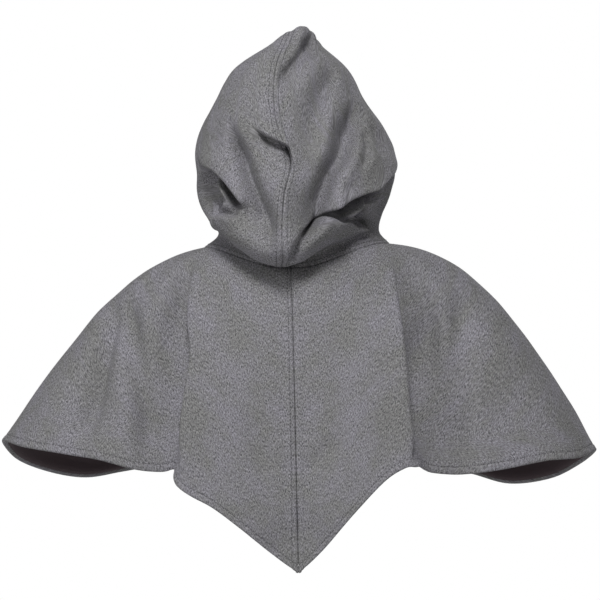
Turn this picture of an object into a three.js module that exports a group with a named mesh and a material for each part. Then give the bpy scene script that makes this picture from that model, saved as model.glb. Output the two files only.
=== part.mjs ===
// A pull-over hood of heavy grey wool with a shoulder mantle, in the form that it takes when worn.
// Millimetres. The origin is the middle of the neck seam, at the height of its side points. +Z is up,
// +Y is the way the wearer faces, and +X is the wearer's right. The mantle's back ends in a point.
import * as THREE from "three";

// Cloth, clearances and stitched edges
const woolThickness = 2.4;
const liningThickness = 1.1;
const foldedEdgeThickness = 1.5;
const seamGap = 0.4; // between two panels that are sewn edge to edge
const neckSeamGap = 0.6; // between the hood's lower edge and the mantle's upper edge
const layerGap = 0.35; // between a panel and a folded edge inside it, and between a lining and its hem
const liningGap = 0.7; // between a mantle panel and its lining
const hemWidth = 13; // the turned-up band along the mantle's hem
const faceHemWidth = 16; // the turned-in band along the face opening
const seamAllowanceWidth = 9; // on each side of the hood's centre seam

// Neck seam
const neckHalfWidth = 120;
const neckBackReach = 88;
const neckFrontReach = 84;
const neckBackDrop = 28;
const neckFrontDrop = 46;
const neckSeamShift = -8; // the centre back seam wanders to the left
const neckRightLift = 5; // the right side of the seam sits higher

// Hood
const hoodHeight = 286; // from the neck seam's side points to the peak
const hoodHalfWidth = 131;
const hoodBackReach = 154; // from the neck's middle to the hanging bag
const hoodFrontReach = 120; // from the neck's middle to the face opening's edge
const faceHalfWidth = 90;
const foldDepth = 12;
const foldWidth = 16;

// Mantle
const mantleReach = 390; // from the middle to the end of either wing
const mantleBackReach = 158;
const mantleFrontReach = 154;
const mantleDrop = 264; // from the neck seam's side points to the hem at the wings
const pointDrop = 143; // how much further down the back's point reaches
const fluteDepth = 8;
const shoulderWeight = 1.4; // how closely the cloth follows the bend over the shoulder

// Steps of the meshes
const hoodColumns = 19; // from the centre back seam to the face edge
const hoodRows = 28;
const mantleColumnStep = 0.036; // the widest step, as a share of the half loop
const mantleRows = 9;
const liningRowStep = 2; // the lining takes every second row

// A table's rows as objects, so that each number has its column's name.
function table(columns, ...rows) {
  return rows.map((row) => Object.fromEntries(columns.map((name, i) => [name, row[i]])));
}

// Sections of the hood from above the neck seam to the top seam. at is the share of the cloth's rise.
// seam, left and right are sideways shares of hoodHalfWidth, and edge is one of faceHalfWidth. back and
// side are depth shares of hoodBackReach, and edgeOut is one of hoodFrontReach. The columns that end
// in Up are height shares of hoodHeight. sideTurn is the share of the half girth that lies behind the
// widest point, and turnIn the angle in degrees through which the edge turns in. leftDip and rightDip
// say how much steeper than an ellipse each half falls towards the centre back seam.
const hoodSections = table(
  [
    "at", "seam", "back", "backUp", "left", "leftUp", "right", "rightUp", "side", "sideTurn", "leftDip",
    "rightDip",
  ],
  [0.04, -0.14, 0.56, -0.06, 0.79, 0.045, 0.825, 0.06, 0.0, 0.5, 2.6, 4.4],
  [0.09, -0.145, 0.68, -0.085, 0.79, 0.085, 0.81, 0.1, 0.0, 0.51, 2.1, 4.2],
  [0.14, -0.145, 0.85, -0.09, 0.85, 0.13, 0.84, 0.15, 0.02, 0.53, 1.8, 4.0],
  [0.2, -0.15, 0.97, -0.035, 0.95, 0.185, 0.89, 0.2, 0.03, 0.55, 1.4, 3.0],
  [0.27, -0.145, 1.0, 0.055, 0.985, 0.24, 0.93, 0.25, 0.04, 0.57, 1.1, 1.9],
  [0.38, -0.12, 1.0, 0.21, 0.99, 0.33, 0.975, 0.335, 0.04, 0.59, 1, 1.1],
  [0.5, -0.06, 0.98, 0.365, 1.01, 0.44, 0.985, 0.42, 0.03, 0.6, 1, 1],
  [0.62, -0.19, 0.93, 0.53, 0.925, 0.56, 0.84, 0.555, 0.0, 0.6, 1, 1],
  [0.74, -0.22, 0.84, 0.68, 0.795, 0.67, 0.645, 0.68, -0.03, 0.6, 1, 1],
  [0.84, -0.19, 0.73, 0.8, 0.64, 0.79, 0.51, 0.8, -0.04, 0.59, 1, 1],
  [0.93, -0.11, 0.58, 0.9, 0.32, 0.89, 0.265, 0.9, -0.02, 0.57, 1, 1],
  [0.97, -0.07, 0.49, 0.945, 0.15, 0.93, 0.16, 0.95, -0.02, 0.56, 1, 1],
  [1.0, -0.045, 0.41, 0.965, -0.045, 0.955, -0.045, 0.955, -0.02, 0.55, 1, 1],
);
const faceSections = table(
  ["at", "edge", "edgeOut", "edgeUp", "turnIn"],
  [0.04, 0, 0.66, -0.11, 90],
  [0.09, 0, 0.69, -0.05, 90],
  [0.14, 0, 0.74, 0.01, 90],
  [0.2, 0.42, 0.8, 0.06, 74],
  [0.27, 0.8, 0.89, 0.14, 62],
  [0.38, 0.96, 0.97, 0.27, 55],
  [0.5, 1.0, 1.0, 0.42, 52],
  [0.62, 0.92, 0.97, 0.56, 52],
  [0.74, 0.7, 0.91, 0.67, 55],
  [0.84, 0.46, 0.86, 0.75, 60],
  [0.93, 0.2, 0.82, 0.8, 70],
  [0.97, 0.09, 0.81, 0.815, 76],
  [1.0, 0, 0.8, 0.825, 80],
);

// Folds of the hood, where the cloth sags over the nape. Each runs from one place to another, turn being
// negative on the left half. bow bends it sideways by a share of its length, to its left where that
// is more than 0. lift is a share of foldDepth, less than 0 for a hollow, and width one of foldWidth.
const hoodFolds = table(
  ["fromTurn", "fromRise", "toTurn", "toRise", "bow", "lift", "width"],
  [-0.27, 0.64, -0.04, 0.18, 0.05, -1.0, 0.9],
  [0.43, 0.72, 0.03, 0.2, -0.08, -1.25, 0.95],
  [0.33, 0.86, 0.09, 0.5, 0, -0.7, 1.1],
  [0.37, 0.62, 0.25, 0.4, 0, -0.45, 0.8],
  [0.2, 0.97, 0.04, 0.74, 0, -0.7, 0.9],
  [-0.15, 0.61, 0.03, 0.49, 0, -0.8, 0.8],
  [-0.1, 0.66, 0.05, 0.6, 0, 0.4, 1.0],
  [-0.06, 0.53, 0, 0.16, 0, 0.8, 1.7],
  [-0.4, 0.37, -0.16, 0.29, 0, -1.5, 1.4],
  [-0.46, 0.5, -0.14, 0.37, 0, 0.6, 1.3],
  [-0.42, 0.19, -0.1, 0.21, 0, 0.5, 1.3],
  [-0.36, 0.6, -0.1, 0.32, 0, 0.4, 1.2],
  [0.46, 0.34, 0.07, 0.26, 0, -1.6, 1.3],
  [0.44, 0.45, 0.08, 0.36, 0, 0.7, 1.4],
  [0.47, 0.18, 0.04, 0.18, 0, 0.8, 1.4],
  [0.32, 0.56, 0.1, 0.32, 0, 0.5, 1.2],
  [0.26, 0.76, 0.08, 0.42, 0, 0.35, 1.3],
  [0.48, 0.52, 0.44, 0.14, 0, -0.9, 1.1],
);

// Flutes of the mantle, which deepen from the neck to the hem. turn is negative on the left half and
// lift is a share of fluteDepth.
const flutes = table(
  ["turn", "lift", "width"],
  [-0.455, -1.0, 0.02],
  [-0.405, 0.7, 0.022],
  [0.375, -0.6, 0.02],
  [0.415, 0.5, 0.02],
  [-0.66, -0.8, 0.03],
  [0.66, -0.8, 0.03],
  [-0.78, 0.7, 0.045],
  [0.78, 0.7, 0.045],
  [-0.9, -0.5, 0.04],
  [0.9, -0.5, 0.04],
);

// Ribs of the mantle, each a run of the cloth from the neck seam to the hem. turn is the share of the
// half loop from the centre back to the centre front. reach, depth and drop are the hem's place as
// shares of mantleReach, of mantleBackReach or, in front, mantleFrontReach, and of mantleDrop. point
// is a share of pointDrop. The columns that start with bend do the same for the bend over the shoulder.
const ribColumns = ["turn", "reach", "depth", "drop", "point", "bendReach", "bendDepth", "bendDrop"];
const rightRibs = table(
  ribColumns,
  [0.0, 0.005, -1.0, 1.0, 1.0, -0.012, -0.81, 0.27],
  [0.07, 0.1, -1.02, 1.0, 0.74, 0.083, -0.81, 0.27],
  [0.14, 0.2, -1.02, 1.0, 0.43, 0.178, -0.8, 0.26],
  [0.2, 0.285, -1.01, 1.0, 0.19, 0.262, -0.77, 0.23],
  [0.25, 0.347, -0.99, 1.0, 0.09, 0.325, -0.72, 0.18],
  [0.285, 0.383, -0.95, 1.0, 0.08, 0.364, -0.67, 0.145],
  [0.31, 0.397, -0.87, 1.0, 0.085, 0.385, -0.62, 0.12],
  [0.335, 0.402, -0.75, 1.0, 0.1, 0.4, -0.56, 0.1],
  [0.36, 0.44, -0.68, 1.085, 0, 0.425, -0.51, 0.08],
  [0.395, 0.535, -0.71, 1.09, 0, 0.468, -0.47, 0.055],
  [0.43, 0.66, -0.68, 1.07, 0, 0.51, -0.42, 0.04],
  [0.46, 0.81, -0.58, 1.045, 0, 0.565, -0.32, 0.03],
  [0.48, 0.925, -0.4, 1.02, 0, 0.608, -0.19, 0.025],
  [0.5, 1.0, 0.0, 1.0, 0, 0.626, 0, 0.023],
  [0.52, 0.96, 0.33, 1.08, 0, 0.615, 0.18, 0.025],
  [0.545, 0.87, 0.54, 1.15, 0, 0.583, 0.32, 0.035],
  [0.575, 0.73, 0.64, 1.175, 0, 0.54, 0.38, 0.05],
  [0.61, 0.595, 0.68, 1.14, 0, 0.485, 0.48, 0.075],
  [0.65, 0.46, 0.73, 1.11, 0, 0.42, 0.57, 0.115],
  [0.72, 0.333, 0.86, 1.1, 0, 0.322, 0.68, 0.18],
  [0.8, 0.226, 0.95, 1.11, 0, 0.22, 0.75, 0.25],
  [0.9, 0.113, 0.99, 1.12, 0, 0.108, 0.79, 0.3],
  [1.0, 0.0, 1.0, 1.12, 0, 0, 0.81, 0.31],
);
const leftRibs = table(
  ribColumns,
  [0.0, -0.005, -1.0, 1.0, 1.0, 0.012, -0.81, 0.27],
  [0.07, 0.092, -1.01, 1.0, 0.8, 0.095, -0.81, 0.27],
  [0.14, 0.185, -1.02, 1.0, 0.6, 0.178, -0.8, 0.26],
  [0.2, 0.27, -1.01, 1.0, 0.43, 0.255, -0.77, 0.23],
  [0.25, 0.34, -0.99, 1.0, 0.33, 0.313, -0.72, 0.19],
  [0.285, 0.385, -0.95, 1.0, 0.25, 0.35, -0.67, 0.165],
  [0.31, 0.402, -0.87, 1.0, 0.19, 0.37, -0.62, 0.14],
  [0.335, 0.404, -0.75, 1.0, 0.12, 0.388, -0.56, 0.12],
  [0.36, 0.436, -0.69, 1.08, 0, 0.41, -0.51, 0.1],
  [0.395, 0.53, -0.72, 1.08, 0, 0.448, -0.47, 0.085],
  [0.43, 0.645, -0.7, 1.06, 0, 0.485, -0.42, 0.078],
  [0.46, 0.785, -0.6, 1.03, 0, 0.537, -0.32, 0.08],
  [0.48, 0.9, -0.42, 0.995, 0, 0.575, -0.19, 0.082],
  [0.5, 0.985, 0.0, 0.955, 0, 0.59, 0, 0.083],
  [0.52, 0.95, 0.33, 1.055, 0, 0.583, 0.18, 0.085],
  [0.545, 0.855, 0.53, 1.125, 0, 0.555, 0.32, 0.09],
  [0.575, 0.73, 0.62, 1.16, 0, 0.517, 0.38, 0.095],
  [0.61, 0.605, 0.68, 1.135, 0, 0.465, 0.48, 0.108],
  [0.65, 0.467, 0.73, 1.1, 0, 0.408, 0.57, 0.138],
  [0.72, 0.333, 0.86, 1.095, 0, 0.32, 0.68, 0.19],
  [0.8, 0.226, 0.95, 1.11, 0, 0.22, 0.75, 0.25],
  [0.9, 0.113, 0.99, 1.12, 0, 0.108, 0.79, 0.3],
  [1.0, 0.0, 1.0, 1.12, 0, 0, 0.81, 0.31],
);

// A smooth value between a table's rows, with slopes taken from the neighbouring rows.
function between(rows, place, where, column) {
  const last = rows.length - 1;
  let i = 0;
  while (i < last - 1 && where > rows[i + 1][place]) i += 1;
  const slope = (k) => {
    const before = rows[Math.max(k - 1, 0)];
    const after = rows[Math.min(k + 1, last)];
    return (after[column] - before[column]) / (after[place] - before[place]);
  };
  const span = rows[i + 1][place] - rows[i][place];
  const t = (where - rows[i][place]) / span;
  const rise = rows[i + 1][column] - rows[i][column];
  const early = slope(i) * span - rise;
  const late = rise - slope(i + 1) * span;
  return rows[i][column] + t * rise + t * (1 - t) * (early * (1 - t) + late * t);
}

const neckSection = {
  at: 0,
  seam: neckSeamShift,
  back: neckBackReach,
  backUp: -neckBackDrop,
  left: neckHalfWidth,
  leftUp: 0,
  right: neckHalfWidth,
  rightUp: neckRightLift,
  side: 0,
  edge: 0,
  edgeOut: neckFrontReach,
  edgeUp: -neckFrontDrop,
  sideTurn: 0.5,
  turnIn: 90,
  leftDip: 3.5,
  rightDip: 4.6,
};
const sections = hoodSections.map((row, i) => ({
  at: row.at,
  seam: row.seam * hoodHalfWidth,
  back: row.back * hoodBackReach,
  backUp: row.backUp * hoodHeight,
  left: row.left * hoodHalfWidth,
  leftUp: row.leftUp * hoodHeight,
  right: row.right * hoodHalfWidth,
  rightUp: row.rightUp * hoodHeight,
  side: row.side * hoodBackReach,
  edge: faceSections[i].edge * faceHalfWidth,
  edgeOut: faceSections[i].edgeOut * hoodFrontReach,
  edgeUp: faceSections[i].edgeUp * hoodHeight,
  sideTurn: row.sideTurn,
  turnIn: faceSections[i].turnIn,
  leftDip: row.leftDip,
  rightDip: row.rightDip,
}));
const hoodRings = [neckSection, ...sections];

// The hood's outer face before its folds. side is -1 left and 1 right, turn runs from the centre back
// seam to the face edge, and rise from the neck seam to the top seam.
function hoodForm(side, turn, rise) {
  const at = (column) => between(hoodRings, "at", rise, column);
  const half = at(side < 0 ? "left" : "right");
  const up = at(side < 0 ? "leftUp" : "rightUp");
  const dip = at(side < 0 ? "leftDip" : "rightDip");
  const seamX = at("seam") + (side * seamGap) / 2;
  const sideX = seamX + side * Math.max(half - side * at("seam"), 0);
  const sideTurn = at("sideTurn");
  if (turn <= sideTurn) {
    const angle = (turn / sideTurn) * (Math.PI / 2);
    const middle = Math.max(Math.cos(angle), 0);
    return new THREE.Vector3(
      seamX + (sideX - seamX) * Math.sin(angle),
      at("side") - (at("back") + at("side")) * middle,
      up + (at("backUp") - up) * middle ** dip,
    );
  }
  const share = (turn - sideTurn) / (1 - sideTurn);
  const turnIn = THREE.MathUtils.degToRad(at("turnIn"));
  const inward = (1 - Math.cos(turnIn * share)) / (1 - Math.cos(turnIn));
  const forward = Math.sin(turnIn * share) / Math.sin(turnIn);
  const edgeX = side * (seamGap / 2 + Math.max(at("edge"), 0));
  return new THREE.Vector3(
    sideX + (edgeX - sideX) * inward,
    at("side") + (at("edgeOut") - at("side")) * forward,
    up + (at("edgeUp") - up) * share,
  );
}

// How far the folds raise the hood's cloth at a place. Each rises and dies away over a share of its run.
const foldRun = 1.33 * hoodHeight; // the cloth in a whole turn or rise
const foldTaper = 0.3;
function foldLift(turn, rise) {
  return hoodFolds.reduce((sum, fold) => {
    const start = new THREE.Vector2(fold.fromTurn, fold.fromRise).multiplyScalar(foldRun);
    const run = new THREE.Vector2(fold.toTurn, fold.toRise).multiplyScalar(foldRun).sub(start);
    const length = run.length();
    const from = new THREE.Vector2(turn, rise).multiplyScalar(foldRun).sub(start);
    const along = THREE.MathUtils.clamp(from.dot(run) / length ** 2, 0, 1);
    const across = run.cross(from) / length - fold.bow * length * 4 * along * (1 - along);
    const taper = THREE.MathUtils.smoothstep(Math.min(along, 1 - along), 0, foldTaper);
    const bell = Math.exp(-((across / (fold.width * foldWidth)) ** 2));
    return sum + fold.lift * foldDepth * taper * bell;
  }, 0);
}

function hoodFace(side, turn, rise) {
  const raised = outward(hoodForm, side, turn, rise, 1).multiplyScalar(foldLift(side * turn, rise));
  return hoodForm(side, turn, rise).add(raised);
}

// The mantle's outer face before its flutes. fall runs from the neck seam to the hem.
function mantleForm(side, turn, fall) {
  const at = (column) => between(side < 0 ? leftRibs : rightRibs, "turn", turn, column);
  const depthOf = (share) => share * (share < 0 ? mantleBackReach : mantleFrontReach);
  const gap = (side * seamGap) / 2;
  const neck = hoodForm(side, turn, 0);
  neck.z -= neckSeamGap;
  const bend = new THREE.Vector3(
    gap + side * at("bendReach") * mantleReach,
    depthOf(at("bendDepth")),
    -at("bendDrop") * mantleDrop,
  );
  const hem = new THREE.Vector3(
    gap + side * at("reach") * mantleReach,
    depthOf(at("depth")),
    -at("drop") * mantleDrop - at("point") * pointDrop,
  );
  const pulls = [(1 - fall) ** 2, 2 * shoulderWeight * fall * (1 - fall), fall ** 2];
  const total = pulls[0] + pulls[1] + pulls[2];
  const point = neck.multiplyScalar(pulls[0]).addScaledVector(bend, pulls[1]).addScaledVector(hem, pulls[2]);
  return point.divideScalar(total);
}

function mantleFace(side, turn, fall) {
  const lift = flutes.reduce((sum, flute) => {
    const bell = Math.exp(-(((side * turn - flute.turn) / flute.width) ** 2));
    return sum + flute.lift * fluteDepth * bell * fall;
  }, 0);
  const raised = outward(mantleForm, side, turn, fall, -1).multiplyScalar(lift);
  return mantleForm(side, turn, fall).add(raised);
}

// A form's outward direction. upward is 1 where the second share runs up and -1 where it runs down. On
// the centre seams both halves take the mean of their two directions, so that their edges stay parallel.
function outward(form, side, turn, along, upward) {
  const step = 0.01; // a share of the run, short against every fold
  const facing = (half) => {
    const t = THREE.MathUtils.clamp(turn, 2 * step, 1 - 2 * step);
    const a = THREE.MathUtils.clamp(along, 2 * step, 1 - 2 * step);
    const across = form(half, t + step, a).sub(form(half, t - step, a));
    const down = form(half, t, a + step).sub(form(half, t, a - step));
    return across.cross(down).multiplyScalar(half * upward).normalize();
  };
  const direction = facing(side);
  const onSeam = turn === 0 || (upward > 0 && along === 1) || (turn === 1 && form(1, 1, along).x < seamGap);
  if (onSeam) {
    direction.add(facing(-side)).normalize();
  }
  return direction;
}

// How far along a run, as a share, it has covered a length in a straight line from its start.
function shareAt(length, run) {
  const start = run(0);
  let low = 0;
  let high = 1;
  for (let i = 0; i < 24; i += 1) {
    const middle = (low + high) / 2;
    if (run(middle).distanceTo(start) < length) low = middle;
    else high = middle;
  }
  return low;
}

// A closed wall of cloth between two depths below a face, over those cells of its grid that keep picks.
function wall(columns, rows, place, outer, inner, flip, keep) {
  const points = [];
  const index = new Map();
  const vertex = (i, j, layer) => {
    const key = `${i} ${j} ${layer}`;
    if (!index.has(key)) {
      index.set(key, points.length);
      points.push(place(i, j, layer === 0 ? outer : inner));
    }
    return index.get(key);
  };
  const triangles = [];
  const quad = (a, b, c, d) => {
    if (flip) triangles.push(a, d, b, b, d, c);
    else triangles.push(a, b, d, b, c, d);
  };
  const kept = (i, j) => i >= 0 && j >= 0 && i < columns && j < rows && keep(i, j);
  for (let i = 0; i < columns; i += 1) {
    for (let j = 0; j < rows; j += 1) {
      if (!kept(i, j)) continue;
      const corners = [[i, j], [i + 1, j], [i + 1, j + 1], [i, j + 1]];
      const outside = corners.map(([p, q]) => vertex(p, q, 0));
      const inside = corners.map(([p, q]) => vertex(p, q, 1));
      const neighbours = [kept(i, j - 1), kept(i + 1, j), kept(i, j + 1), kept(i - 1, j)];
      quad(...outside);
      quad(inside[2], inside[1], inside[0], inside[3]);
      neighbours.forEach((joined, k) => {
        const next = (k + 1) % 4;
        if (!joined) quad(outside[k], inside[k], inside[next], outside[next]);
      });
    }
  }
  const geometry = new THREE.BufferGeometry();
  geometry.setAttribute("position", new THREE.Float32BufferAttribute(points.flatMap((p) => p.toArray()), 3));
  geometry.setIndex(triangles);
  geometry.computeVertexNormals();
  return geometry;
}

const wool = new THREE.MeshStandardMaterial({ color: 0x85858a, roughness: 0.95, metalness: 0 });
const foldedWool = new THREE.MeshStandardMaterial({ color: 0x6d6d72, roughness: 0.95, metalness: 0 });
const liningCloth = new THREE.MeshStandardMaterial({ color: 0x33262a, roughness: 0.85, metalness: 0 });
const foldedDepth = woolThickness + layerGap;
const liningDepth = woolThickness + liningGap;

function piece(name, geometry, material) {
  const mesh = new THREE.Mesh(geometry, material.clone());
  mesh.name = name;
  return mesh;
}

// Even shares from one share to another, both included.
function spread(from, to, steps) {
  return Array.from({ length: steps + 1 }, (_, i) => from + ((to - from) * i) / steps);
}

// One half of the hood: its panel, the allowance of the centre seam and the band along the face opening.
// The grid's first column and last row lie over the allowance, and its last column over the band.
const topSeamTurn = 0.3; // where the allowance of the top seam is measured
function hoodHalf(word, side) {
  const turnsAt = (rise) => {
    const first = shareAt(seamAllowanceWidth, (share) => hoodForm(side, share, rise));
    const last = 1 - shareAt(faceHemWidth, (share) => hoodForm(side, 1 - share, rise));
    return [0, ...spread(first, last, hoodColumns - 2), 1];
  };
  const top = 1 - shareAt(seamAllowanceWidth, (share) => hoodForm(side, topSeamTurn, 1 - share));
  const grid = [...spread(0, top, hoodRows - 1), 1].map((rise) => turnsAt(rise).map((turn) => ({
    face: hoodFace(side, turn, rise),
    direction: outward(hoodFace, side, turn, rise, 1),
  })));
  const place = (i, j, depth) => {
    const { face, direction } = grid[j][i];
    return face.clone().addScaledVector(direction, -depth);
  };
  const isFree = (j) => grid[j][hoodColumns].face.x * side > seamGap;
  const isAllowance = (i, j) => i === 0 || (j === hoodRows - 1 && i < hoodColumns - 1);
  const isBand = (i, j) => i === hoodColumns - 1 && j < hoodRows - 1 && isFree(j) && isFree(j + 1);
  const cut = (depth, thickness, keep) =>
    wall(hoodColumns, hoodRows, place, depth, depth + thickness, side < 0, keep);
  return [
    piece(`hood_panel_${word}`, cut(0, woolThickness, () => true), wool),
    piece(`hood_seam_allowance_${word}`, cut(foldedDepth, foldedEdgeThickness, isAllowance), foldedWool),
    piece(`face_hem_${word}`, cut(foldedDepth, foldedEdgeThickness, isBand), foldedWool),
  ];
}

// One half of the mantle: its panel, the lining and the turned-up hem, which is the grid's last row.
function mantleHalf(word, side) {
  const ribs = side < 0 ? leftRibs : rightRibs;
  const turns = ribs.slice(1).flatMap((rib, i) => {
    const steps = Math.ceil((rib.turn - ribs[i].turn) / mantleColumnStep);
    return spread(ribs[i].turn, rib.turn, steps).slice(0, -1);
  });
  turns.push(1);
  const columns = turns.length - 1;
  const grid = turns.map((turn) => {
    const hem = 1 - shareAt(hemWidth, (share) => mantleForm(side, turn, 1 - share));
    return [...spread(0, hem, mantleRows - 1), 1].map((fall) => ({
      face: mantleFace(side, turn, fall),
      direction: outward(mantleFace, side, turn, fall, -1),
    }));
  });
  const place = (i, j, depth) => {
    const { face, direction } = grid[i][j];
    return face.clone().addScaledVector(direction, -depth);
  };
  const liningRows = (mantleRows - 1) / liningRowStep;
  const liningPlace = (i, j, depth) => {
    const point = place(i, j * liningRowStep, depth);
    if (j < liningRows) return point;
    const up = place(i, j * liningRowStep - 1, depth).sub(point).normalize();
    return point.addScaledVector(up, layerGap);
  };
  const cut = (rows, at, depth, thickness, keep) =>
    wall(columns, rows, at, depth, depth + thickness, side > 0, keep);
  const all = () => true;
  const isHem = (i, j) => j === mantleRows - 1;
  return [
    piece(`mantle_panel_${word}`, cut(mantleRows, place, 0, woolThickness, all), wool),
    piece(
      `mantle_lining_${word}`,
      cut(liningRows, liningPlace, liningDepth, liningThickness, all),
      liningCloth,
    ),
    piece(`mantle_hem_${word}`, cut(mantleRows, place, foldedDepth, foldedEdgeThickness, isHem), foldedWool),
  ];
}

const hood = new THREE.Group();
hood.add(...hoodHalf("left", -1), ...hoodHalf("right", 1));
hood.add(...mantleHalf("left", -1), ...mantleHalf("right", 1));
export default hood;
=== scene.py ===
# A pull-over hood of heavy grey wool with a shoulder mantle, in the form that it takes when worn.
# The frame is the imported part's: +Z is up, +Y the way the wearer faces, and +X the wearer's right.
# Cloth is worked out in millimetres and made in metres.
import math

import bmesh
import bpy
import numpy as np
from mathutils import Matrix, Vector


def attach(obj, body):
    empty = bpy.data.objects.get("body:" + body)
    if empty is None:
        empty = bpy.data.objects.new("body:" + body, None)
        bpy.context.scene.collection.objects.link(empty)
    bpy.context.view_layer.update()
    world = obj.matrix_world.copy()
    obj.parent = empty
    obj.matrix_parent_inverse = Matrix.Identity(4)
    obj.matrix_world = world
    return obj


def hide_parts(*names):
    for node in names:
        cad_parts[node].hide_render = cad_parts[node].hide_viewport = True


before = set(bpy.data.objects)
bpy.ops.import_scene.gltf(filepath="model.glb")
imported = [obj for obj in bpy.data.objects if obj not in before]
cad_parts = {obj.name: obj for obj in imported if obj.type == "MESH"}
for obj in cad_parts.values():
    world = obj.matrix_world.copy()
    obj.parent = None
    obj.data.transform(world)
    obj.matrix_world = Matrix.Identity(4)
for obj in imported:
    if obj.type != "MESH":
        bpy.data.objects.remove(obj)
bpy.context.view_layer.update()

# The camera stands level behind the wearer, with a long lens.
camera_place = Vector((0.004, -3.25, -0.069))
camera = bpy.data.cameras.new("camera")
camera.lens = 150
camera.sensor_width = 36
viewpoint = bpy.data.objects.new("viewpoint", camera)
viewpoint.location = camera_place
viewpoint.rotation_euler = (math.radians(90), 0, 0)
bpy.context.scene.collection.objects.link(viewpoint)
bpy.context.scene.camera = viewpoint

# The hood's two halves, cut from heavy felted wool and sewn along the centre back and the top. The cloth
# hangs in a bag over the nape, buckles at the middle and folds away to both sides. The face edge is
# turned in and stitched down, and each panel holds that band.
millimetre = 0.001
wool_thickness = 2.4
layer_gap = 0.35
face_hem_width = 16
fold_over = (2 * wool_thickness + layer_gap) / 2  # the outer radius of an edge that is turned in
neck_half_width = 120
neck_back_reach = 88
neck_front_reach = 84
neck_back_drop = 28
neck_front_drop = 46
neck_seam_shift = -8
neck_right_lift = 5
hood_height = 286
hood_half_width = 131
hood_back_reach = 154
hood_front_reach = 120
face_half_width = 90

# Sections of the hood from above the neck seam to the top seam. at is the share of the cloth's rise.
# seam, left and right are shares of hood_half_width and edge of face_half_width. back and side are
# shares of hood_back_reach, edge_out of hood_front_reach, and those that end in up of hood_height.
# side_turn is the share of the half girth behind the widest point, and turn_in an angle in degrees.
# left_dip and right_dip say how much steeper than an ellipse the cloth falls towards the middle back.
section_columns = (
    "at seam back back_up left left_up right right_up side side_turn edge edge_out edge_up turn_in "
    "left_dip right_dip".split()
)
section_units = np.array([
    1, hood_half_width, hood_back_reach, hood_height, hood_half_width, hood_height, hood_half_width,
    hood_height, hood_back_reach, 1, face_half_width, hood_front_reach, hood_height, 1, 1, 1,
])
neck_section = [
    0, neck_seam_shift, neck_back_reach, -neck_back_drop, neck_half_width, 0, neck_half_width,
    neck_right_lift, 0, 0.5, 0, neck_front_reach, -neck_front_drop, 90, 3.5, 4.6,
]
hood_sections = np.array([
    [0.04, -0.14, 0.56, -0.06, 0.79, 0.045, 0.825, 0.06, 0.0, 0.5, 0, 0.66, -0.11, 90, 2.6, 4.4],
    [0.09, -0.145, 0.68, -0.085, 0.79, 0.085, 0.81, 0.1, 0.0, 0.51, 0, 0.69, -0.05, 90, 2.1, 4.2],
    [0.14, -0.145, 0.85, -0.09, 0.85, 0.13, 0.84, 0.15, 0.02, 0.53, 0, 0.74, 0.01, 90, 1.8, 4.0],
    [0.2, -0.15, 0.97, -0.035, 0.95, 0.185, 0.89, 0.2, 0.03, 0.55, 0.42, 0.8, 0.06, 74, 1.4, 3.0],
    [0.27, -0.145, 1.0, 0.055, 0.985, 0.24, 0.93, 0.25, 0.04, 0.57, 0.8, 0.89, 0.14, 62, 1.1, 1.9],
    [0.38, -0.12, 1.0, 0.21, 0.99, 0.33, 0.975, 0.335, 0.04, 0.59, 0.96, 0.97, 0.27, 55, 1, 1.1],
    [0.5, -0.06, 0.98, 0.365, 1.01, 0.44, 0.985, 0.42, 0.03, 0.6, 1.0, 1.0, 0.42, 52, 1, 1],
    [0.62, -0.19, 0.93, 0.53, 0.925, 0.56, 0.84, 0.555, 0.0, 0.6, 0.92, 0.97, 0.56, 52, 1, 1],
    [0.74, -0.22, 0.84, 0.68, 0.795, 0.67, 0.645, 0.68, -0.03, 0.6, 0.7, 0.91, 0.67, 55, 1, 1],
    [0.84, -0.19, 0.73, 0.8, 0.64, 0.79, 0.51, 0.8, -0.04, 0.59, 0.46, 0.86, 0.75, 60, 1, 1],
    [0.93, -0.11, 0.58, 0.9, 0.32, 0.89, 0.265, 0.9, -0.02, 0.57, 0.2, 0.82, 0.8, 70, 1, 1],
    [0.97, -0.07, 0.49, 0.945, 0.15, 0.93, 0.16, 0.95, -0.02, 0.56, 0.09, 0.81, 0.815, 76, 1, 1],
    [1.0, -0.045, 0.41, 0.95, -0.045, 0.96, -0.045, 0.96, -0.02, 0.55, 0, 0.8, 0.825, 80, 1, 1],
])
hood_rings = np.vstack([neck_section, hood_sections * section_units])

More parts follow.
